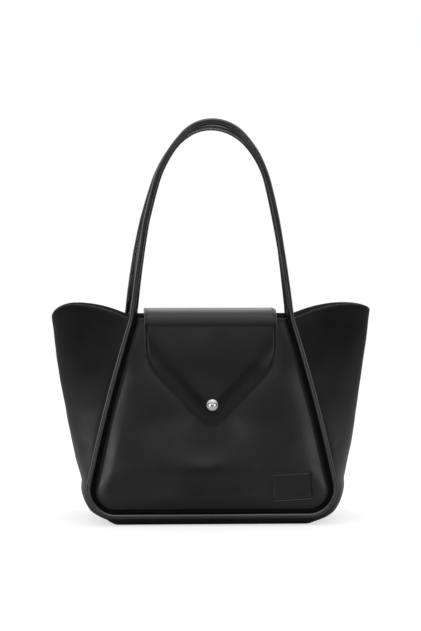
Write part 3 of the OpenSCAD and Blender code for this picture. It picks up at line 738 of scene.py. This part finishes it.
def gusset_piece(name, side, tip, seed):
    """side is 1 on the right and -1 on the left."""
    i_f, s_f = FRONT.length_table()
    # Stations even along the seam, closer near the rim
    s = np.linspace(0, 1, 110) ** 1.08 * s_f[-1]
    i = np.interp(s, s_f, i_f)
    t = np.linspace(-1, 1, 57)

    def edge(seam, offs, back):
        p, d = seam.at(i)
        q = p[:, None] + d[:, None] * offs[:, :1]
        return on_plane(q[..., 0], q[..., 1], offs[:, 1], back)

    mid = (NEAR + FAR) / 2
    offs = np.array([EDGE_DIR * a - EDGE_SIDE * mid for a in (EDGE_REACH, 8.5, ROLL_R + 2.9)]
                    + [FOLD_IN + [0.6, -0.75], FOLD_IN, mix(FOLD_IN, FOLD_OUT, 0.45) + [0, 0.18]])
    front, back = edge(FRONT, FOLD_OUT[None], False), edge(BACK, FOLD_OUT[None], True)
    a = np.radians(-90 * step(i, SIDE_END, CORNER_END))
    away = np.stack([np.cos(a), 0 * a, np.sin(a)], -1)[:, None]
    reach = bulge(i) + FOLD_OUT[0] + np.interp(i, *(RIGHT_FULLER if side > 0 else LEFT_FULLER))
    reach = reach[:, None] * gusset_form(i[:, None], t[None, :])
    main = mix(front, back, (t[:, None] + 1) / 2) + away * reach[..., None]
    main[..., 2] += rim_rise(t, tip)[None] * (np.maximum(0, 1 - i / 4) ** 2)[:, None]
    # The leather is never quite even
    fade = step(s, 0, 18)[:, None] * (1 - np.abs(t) ** 6) * (1 - step(i, 9, 13))[:, None]
    place = s[:, None] + 0 * t, 60 * t[None, :] + 0 * s[:, None]
    lump = 0.9 * wave_noise(seed, 46, *place) + 0.35 * wave_noise(seed + 3, 20, *place)
    main = main + grid_normals(main) * (lump * fade * 0.55)[..., None]
    grid = np.concatenate([edge(FRONT, offs, False), main, edge(BACK, offs, True)[:, ::-1]], 1)
    # Ease the fold where the gusset leaves the seam
    cols, e = grid.shape[1], len(offs)
    soft, half = np.zeros(cols), np.full(cols, GUSSET_T / 2)
    soft[e - 2:e + 4] = FOLD_SOFT
    soft = np.maximum(soft, soft[::-1])[:, None]
    for _ in range(3):
        even = grid.copy()
        even[:, 1:-1] = (grid[:, :-2] + grid[:, 2:]) / 2
        grid = grid + (even - grid) * soft * 0.5
    # Half the leather's thickness: thinner at the sewn edges
    half[:e] = EDGE_T / 2
    half[e:e + 3] = FOLD_HALF
    half = np.minimum(half, half[::-1])[:, None]
    grid = grid * [side, 1, 1]
    normal = grid_normals(grid)
    normal = normal * np.sign(normal[30, cols // 2, 0] * side)
    outer, inner = grid + normal * half, grid - normal * half
    bld = Builder()
    flip = side > 0
    bld.grid(outer, flip=flip)
    bld.grid(inner, 1, flip=not flip)
    # The rim: a cut edge, painted, slightly rounded
    up = grid[0] - grid[1]
    up = up / np.linalg.norm(up, axis=-1, keepdims=True)
    lips = [grid[0] + half * (normal[0] * math.cos(a) + up * 0.6 * math.sin(a)) for a in LIP]
    bld.grid(np.stack([outer[0], *lips, inner[0]], 0), 2, flip=not flip)
    # Side edges inside the seam, and the end under the base
    for col in (0, -1):
        bld.grid(np.stack([outer[:, col], inner[:, col]], 0), 1)
    bld.grid(np.stack([outer[-1], inner[-1]], 0), 2)
    return bld.done(name, [WING, FLESH, PAINT], 0.00002)


# The flap. Its back bend's centre, and its front bend's: the leather turns down in one wide bend.
_out = PANEL_T / 2 + TAIL_GAP - BACK_BEND_R
_down = math.sqrt((BACK_BEND_R - RIM_GAP) ** 2 - (PANEL_T / 2 - _out) ** 2)
BACK_C = on_plane(0, BACK_V - _down, _out, back=True)[1:]
SOFT_Z, SOFT_OUT = 240.6, PANEL_T / 2 + FLAP_GAP - SOFT_R
SOFT_C = on_plane(0, (SOFT_Z - SEAM_LOW - SOFT_OUT * S) / C, SOFT_OUT)[1:]
FULL_T = FLAP_T + LINING_T + GLUE_GAP
TILT_DEG = math.degrees(TILT)


class FlapLine:
    """The flap's side view as a line of (back, up) points of its inner face, with normals."""

    def __init__(self):
        back_end, front_start, fine, arch_high, gap = 92, 88, 0.4, 0.9, 0.01
        tail_top = BACK_C + BACK_BEND_R * unit_dir(TILT_DEG)
        down = np.linspace(TAIL_LEN - 3, gap, 50)[:, None]
        tail = tail_top + np.array([S, -C]) * down
        bend1 = arc(BACK_C, BACK_BEND_R, TILT_DEG, back_end, fine)
        bend1[:, 1] = tail_top[1] + (bend1[:, 1] - tail_top[1]) * BACK_FLAT
        bend2 = arc(SOFT_C, SOFT_R, front_start, 180 - TILT_DEG, fine)
        k = np.linspace(0, 1, 80)
        lift = np.stack([0 * k, arch_high * np.sin(k * math.pi)], -1)
        arch = mix(bend1[-1], bend2[0], k[:, None]) + lift
        drop_top = bend2[-1]
        self.drop_v = float(off_plane(0, *drop_top)[1])
        down = np.linspace(gap, self.drop_v - plane_v(FLAP_TIP) + 2, 150)[:, None]
        drop = drop_top + np.array([-S, -C]) * down
        line = np.concatenate([tail, bend1, arch[1:], bend2[1:], drop])
        s = running_length(line)
        ends = np.cumsum([len(tail), len(bend1), len(arch) - 1, len(bend2) - 1]) - 1
        self.s_back, self.s_arch0, self.s_arch1, self.s_drop = s[ends]
        t = np.arange(0, s[-1], 0.25)
        p = follow(t, s, line)
        # Leather eases into its bends
        for _ in range(30):
            p[1:-1] = p[1:-1] * 0.5 + (p[:-2] + p[2:]) * 0.25
        d = np.gradient(p, axis=0)
        d /= np.linalg.norm(d, axis=1, keepdims=True)
        self.t, self.p = t, p
        self.nrm = np.stack([d[:, 1], -d[:, 0]], -1)

    def at(self, s):
        n = follow(s, self.t, self.nrm)
        return follow(s, self.t, self.p), n / np.linalg.norm(n, axis=-1, keepdims=True)


LINE = FlapLine()
S_MID = (LINE.s_arch0 + LINE.s_arch1) / 2
TAIL_POINTS = 40


def flap_outline():
    """The flap's right edge from the tail's middle to the tip, as (x, s) points."""
    slope, tip_v = math.radians(EDGE_SLOPE), plane_v(FLAP_TIP) + TIP_R
    tail_x, shoulder_x = FLAP_HALF - TAIL_CORNER, FLAP_HALF - SHOULDER_R
    shoulder_v = tip_v + (SHOULDER_R - TIP_R + shoulder_x * math.sin(slope)) / math.cos(slope)

    def s_of(v):
        return LINE.s_drop + LINE.drop_v - v

    def bend(x, v, r, angles):
        return [[x + r * dx, s_of(v + r * dv)] for dx, dv in unit_dir(angles)]

    tail = [[x, 0.0] for x in (0.0, *np.linspace(2, tail_x, TAIL_POINTS))]
    tail += [[tail_x + TAIL_CORNER * dx, TAIL_CORNER * (1 + ds)]
             for dx, ds in unit_dir(np.linspace(-90, 0, 24))]
    side = [[FLAP_HALF, s] for s in np.linspace(TAIL_CORNER + 2, s_of(shoulder_v), 160)[:-1]]
    shoulder = bend(shoulder_x, shoulder_v, SHOULDER_R, np.linspace(0, EDGE_SLOPE - 90, 40))
    tip = bend(0, tip_v, TIP_R, np.linspace(EDGE_SLOPE - 90, -90, 26))
    slant = np.linspace(shoulder[-1], tip[0], 60)[1:-1].tolist()
    return np.array(tail + side + shoulder + slant + tip)


EDGE = flap_outline()


def edge_distance(x, s):
    """Distance of points on the flap from its edge."""
    line = mirrored(EDGE)
    a, ab = line[:-1], np.diff(line, axis=0)
    keep = np.linalg.norm(ab, axis=1) > 1e-6
    a, ab = a[keep], ab[keep]
    q = np.stack([np.ravel(x), np.ravel(s)], -1)
    best = []
    for part in np.array_split(q, len(q) // 3000 + 1):
        aq = part[:, None] - a
        h = np.clip((aq * ab).sum(-1) / (ab * ab).sum(-1), 0, 1)
        best.append(np.sqrt(((aq - ab * h[..., None]) ** 2).sum(-1)).min(1))
    return np.concatenate(best).reshape(np.shape(x))


def flap_point(x, s, level, d):
    """Points of the flap at a distance d from its edge. level is 0 inside and 1 outside."""
    p, n = LINE.at(s)
    # Both faces round off at the edge, and on the outer one the stitch row draws the leather in
    r = FULL_T / 2
    k = np.clip((r - d) / r, 0, 1)
    half = r * np.sqrt(np.maximum(0, 1 - k * k))
    pull = 0.42 * np.exp(-(((d - STITCH_IN) / 0.7) ** 2))
    bead = 0.16 * np.exp(-(((d - 1.5) / 0.7) ** 2))
    off = r + (2 * level - 1) * (half - (pull - bead) * (level > 0.5)) + FLAP_LOFT
    # The drop is a little crowned: its edges curl towards the panel
    curl = -0.9 - 3.2 * np.maximum(0, 1 - d / 27) ** 2 + 0.12 * wave_noise(71, 40, x, s)
    off = off + curl * ease((s - LINE.s_drop) / 70)
    y, z = p[..., 0] + n[..., 0] * off, p[..., 1] + n[..., 1] * off
    # The flap hangs a little to the left
    return np.stack([x - mix(2.4, 0.7, ease((s - S_MID) / 165)), y, z], -1)


def flap_rows(s0, s1, step):
    n = max(3, int(round((s1 - s0) / step)) + 1)
    return np.linspace(s0, s1, n)


# Steps in from an edge at which the flap has points: fine where it rounds off and is stitched
FROM_EDGE = np.array([0.0, 0.1, 0.3, 0.6, 1.0, 1.5, 2.0, 2.5, 2.9, 3.3, 3.8, 4.5, 5.5, 7.0, 9.0,
                      12.0])
PAINTED = 0.85


def flap_piece(name, s_values, tail_end):
    """The flap's two faces between two s values. tail_end says that the first is the tail's end."""
    x = []
    for w in np.interp(s_values, EDGE[TAIL_POINTS:, 1], EDGE[TAIL_POINTS:, 0]):
        o = FROM_EDGE * min(1.0, w / FROM_EDGE[-1] / 2)
        inner = max(w - o[-1], 0)
        x.append(np.concatenate([o[:-1] - w, np.linspace(-inner, inner, 61), (w - o[:-1])[::-1]]))
    x = np.array(x)
    s = np.broadcast_to(s_values[:, None], x.shape)
    d = edge_distance(x, s)
    d[:, 0] = d[:, -1] = 0
    if tail_end:
        d[0] = 0
    middle = (d[:-1, :-1] + d[1:, :-1] + d[:-1, 1:] + d[1:, 1:]).ravel() / 4
    bld = Builder()
    for level, mat in ((1.0, 0), (0.0, 2)):
        # Faces near the edge take the flap's lighter edge paint, which carries a painted highlight
        # along the rim
        mats = np.where(middle < PAINTED, 1, mat).tolist()
        bld.grid(flap_point(x, s, level, d), mats, flip=level > 0.5)
    return bld.done(name, [FLAP, LIT_FLAP_EDGE_PAINT, LINING], 0.000004)


def flap_stitch_places(level):
    """Stitches all round the flap, a fixed step in from its edge, each with its s."""
    first, pitch, ahead, sunk = 2.0, 4.25, 0.5, 0.06
    d = np.gradient(EDGE, axis=0)
    d /= np.maximum(np.linalg.norm(d, axis=1, keepdims=True), 1e-9)
    line = EDGE + np.stack([-d[:, 1], d[:, 0]], -1) * STITCH_IN
    line = line[line[:, 0] > 0.5]
    length = running_length(line)
    t = np.arange(first, length[-1] - 1.0, pitch)
    inset = np.full(len(t), STITCH_IN)
    places = []
    for side in (-1, 1):
        (x, s), (x1, s1) = ((follow(at, length, line) * [side, 1]).T for at in (t, t + ahead))
        p, q = flap_point(x, s, level, inset), flap_point(x1, s1, level, inset)
        _, n = LINE.at(s)
        normal = np.stack([0 * x, n[:, 0], n[:, 1]], -1) * (1 if level > 0.5 else -1)
        places += [(s[k], (p[k] + normal[k] * sunk, q[k] - p[k], normal[k])) for k in range(len(t))]
    return places


# The camera, where the outline meets the photograph's
cam_data = bpy.data.cameras.new("camera")
cam = in_scene("camera", cam_data)
cam.location = (-0.0733, -1.9987, 0.345)
cam.rotation_euler = (math.radians(87.39), 0, math.radians(-2.1))
cam_data.sensor_fit = "VERTICAL"
cam_data.sensor_height = 36
cam_data.lens = 91.28
bpy.context.scene.camera = cam


def snap_cap_piece():
    """A turned dome with a rolled rim, on the flap's outer face."""
    base_out, rim_r, rim_drop = PANEL_T / 2 + FLAP_GAP + FULL_T, 0.45, 0.42
    dome_h, dome_r = CAP_H - 0.7, CAP_R - rim_r
    ball_r = (CAP_R ** 2 + dome_h ** 2) / (2 * dome_h)
    profile = [[0.0, CAP_H]]
    for a in np.linspace(0.04, math.asin(min(1, dome_r / ball_r)), 22):
        profile.append([ball_r * math.sin(a), CAP_H - ball_r * (1 - math.cos(a))])
    rim_c = np.array([dome_r, profile[-1][1] - rim_drop])
    profile += [(rim_c + rim_r * unit_dir(a)).tolist() for a in np.linspace(80, -90, 12)]
    profile.append([CAP_R - 1.2, rim_c[1] - rim_r])
    r, out = np.array(profile).T[:, :, None]
    angle = np.linspace(0, 2 * math.pi, 72, endpoint=False)
    bld = Builder()
    up = SNAP_V + r * np.sin(angle)
    bld.grid(on_plane(r * np.cos(angle), up, np.maximum(out, 0.02) + base_out), close_j=True)
    return bld.done("snap_cap_dome", [NICKEL], 0.000002)


# The pieces
def settle(piece, body, node):
    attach(piece, body)
    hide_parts(node)


front_panel = panel_piece("front_panel_leather", FRONT, False, 11)
refine_emboss(front_panel)
settle(front_panel, "bag_body", "front_panel")
back_panel = panel_piece("back_panel_leather", BACK, True, 12)
settle(back_panel, "bag_body", "back_panel")

right_gusset = gusset_piece("right_gusset_leather", 1, TIP_RISE + 1.0, 21)
settle(right_gusset, "bag_body", "right_gusset")
left_gusset = gusset_piece("left_gusset_leather", -1, TIP_RISE - 7.8, 24)
settle(left_gusset, "bag_body", "left_gusset")

# The handles' rolls, stitches and cords. y and up, in metres, tell where each handle would bend and
# how much higher the back handle's lies, but nothing here reads them
for name, roll, body, seed, y, up in (("front", FRONT_ROLL, "front_loop", 31, -0.0456, 0.0),
                                      ("back", BACK_ROLL, "back_loop", 34, 0.0454, 0.0025)):
    loop = roll_piece(roll, name + "_roll_loop", seed)
    thread = roll_stitches(roll, name + "_roll_stitches")
    cord = cord_piece(roll, name + "_roll_cord")
    for piece, slot in ((loop, "roll_leather"), (thread, "roll_leather"), (cord, "cord_filler")):
        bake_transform(piece)
    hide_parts(name + "_piping", name + "_handle_necks", name + "_handle")
    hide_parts(name + "_piping_core", name + "_handle_core")

TIP_S = EDGE[-1, 1]
rear_rows = np.concatenate([FROM_EDGE[:13], flap_rows(7, LINE.s_back - 2, 1.6),
                            flap_rows(LINE.s_back - 1, LINE.s_arch0 + 2, 0.7),
                            flap_rows(LINE.s_arch0 + 3, S_MID, 1.5)])
front_rows = np.concatenate([flap_rows(S_MID, LINE.s_arch1 - 3, 1.5),
                             flap_rows(LINE.s_arch1 - 2, LINE.s_drop + 2, 0.7),
                             flap_rows(LINE.s_drop + 3, TIP_S - 5, 1.0),
                             TIP_S - np.array([4.4, *FROM_EDGE[10:0:-1], 0.03])])
REAR_BEND = ("bag_body", "flap_arch", (0, 0.050, 0.2516), (0, 0.0398, 0.262))
FORE_BEND = ("flap_arch", "flap_drop", (0, -0.036, 0.2615), (0, -0.0537, 0.2440))
flap_rear = flap_piece("flap_rear_leather", rear_rows, True)
flap_fore = flap_piece("flap_front_leather", front_rows, False)
places = flap_stitch_places(1.0) + flap_stitch_places(0.0)
rear_thread = stitches("flap_rear_stitches", [p for s, p in places if s < S_MID], 0.34)
fore_thread = stitches("flap_front_stitches", [p for s, p in places if s >= S_MID], 0.34)
for piece, (a, b, start, end) in ((flap_rear, REAR_BEND), (rear_thread, REAR_BEND),
                                  (flap_fore, FORE_BEND), (fore_thread, FORE_BEND)):
    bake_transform(piece)
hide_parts("flap_tail", "flap_back_bend", "flap_top", "flap_top_lining")
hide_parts("flap_front_bend", "flap_front", "flap_front_lining")

settle(snap_cap_piece(), "flap_drop", "snap_cap")

for node, material in {"snap_socket": PLATED, "snap_stud": PLATED, "snap_stud_rivet": PLATED,
                       "snap_magnet": MAGNET, "base_seam_tape": FLESH}.items():
    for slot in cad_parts[node].material_slots:
        slot.material = material


# The floor, the world and the lights, in metres
WHITE = (1, 1, 1, 1)


def seen_rays(tree, path):
    """1 for what the camera sees, straight or through something clear."""
    return tree.math("MAXIMUM", path.outputs["Is Camera Ray"], path.outputs["Is Transmission Ray"])


def camera_white(name, grey_level, white):
    """A pale matt floor which the camera sees lit to white, keeping the object's shadow."""
    mat = bpy.data.materials.new(name)
    t = Tree(mat, clear=True)
    matt = t.node("ShaderNodeBsdfDiffuse", {"Color": (grey_level, grey_level, grey_level, 1)})
    strength = t.math("MULTIPLY", seen_rays(t, t.node("ShaderNodeLightPath", {})), white)
    glow = t.node("ShaderNodeEmission", {"Color": WHITE, "Strength": strength})
    both = t.node("ShaderNodeAddShader", {0: matt.outputs[0], 1: glow.outputs[0]})
    t.node("ShaderNodeOutputMaterial", {"Surface": both.outputs[0]})
    return mat


def floor_piece():
    side, front, rear = 1.7, -1.00, 1.9
    mesh = bpy.data.meshes.new("floor")
    corners = [(-side, front, 0), (side, front, 0), (side, rear, 0), (-side, rear, 0)]
    mesh.from_pydata(corners, [], [(0, 1, 2, 3)])
    mesh.materials.append(camera_white("floor_white", 0.72, 0.62))
    return in_scene("floor", mesh)


floor_piece()


def studio_world(level, low, sides):
    """An even light for matt surfaces, and a room for gloss: dark in front, white behind, with
    walls and a ceiling. The camera sees white.

    Each side is (axis, sign, from, to, strength): how its light grows with a direction's part
    along the axis.
    """
    world = bpy.data.worlds.new("studio")
    bpy.context.scene.world = world
    t = Tree(world, clear=True)
    path, coord = t.node("ShaderNodeLightPath", {}), t.node("ShaderNodeTexCoord", {})
    split = t.node("ShaderNodeSeparateXYZ", {0: coord.outputs["Generated"]})
    total = low
    for axis, sign, start, end, strength in sides:
        kind = "LINEAR" if axis == "Z" else "SMOOTHSTEP"
        part = t.ramp(split.outputs[axis], sign * start, sign * end, 0.0, strength, kind)
        total = t.math("ADD", part, total)

    def light(strength):
        return t.node("ShaderNodeBackground", {"Color": WHITE, "Strength": strength}).outputs[0]

    def choose(fac, no, yes):
        return t.node("ShaderNodeMixShader", {0: fac, 1: no, 2: yes}).outputs[0]

    lit = choose(path.outputs["Is Glossy Ray"], light(level), light(total))
    t.node("ShaderNodeOutputWorld", {"Surface": choose(seen_rays(t, path), lit, light(1.0))})


studio_world(0.62, 0.03, (("X", -1, 0.80, 1.0, 0.45), ("X", 1, 0.85, 1.0, 0.3),
                          ("Y", 1, 0.0, 0.6, 0.6), ("Z", 1, 0.12, 1.0, 1.8)))

for name, place, target, size, power in (
        ("front", (0.04, -2.2, 0.45), (0, 0, 0.10), (0.50, 0.22), 0.75),
        ("front_left", (-0.72, -2.1, 0.20), (0, 0, 0.20), (0.30, 0.36), 2.4),
        ("front_right", (0.78, -2.1, 0.20), (0, 0, 0.20), (0.30, 0.36), 1.7),
        ("left", (-2.0, 0.1, 0.75), (0, 0, 0.20), (0.7, 1.0), 4),
        ("right", (2.0, 0.3, 0.85), (0, 0, 0.20), (0.6, 1.0), 3),
        ("top", (-0.1, -0.3, 2.2), (0, 0, 0.20), (1.4, 1.0), 1.5)):
    lamp = bpy.data.lights.new(name, "AREA")
    lamp.shape = "RECTANGLE"
    lamp.size, lamp.size_y = size
    lamp.energy = power
    obj = in_scene(name, lamp)
    obj.location = place
    obj.rotation_euler = (Vector(target) - Vector(place)).to_track_quat("-Z", "Y").to_euler()

bpy.context.scene.view_settings.view_transform = "Standard"
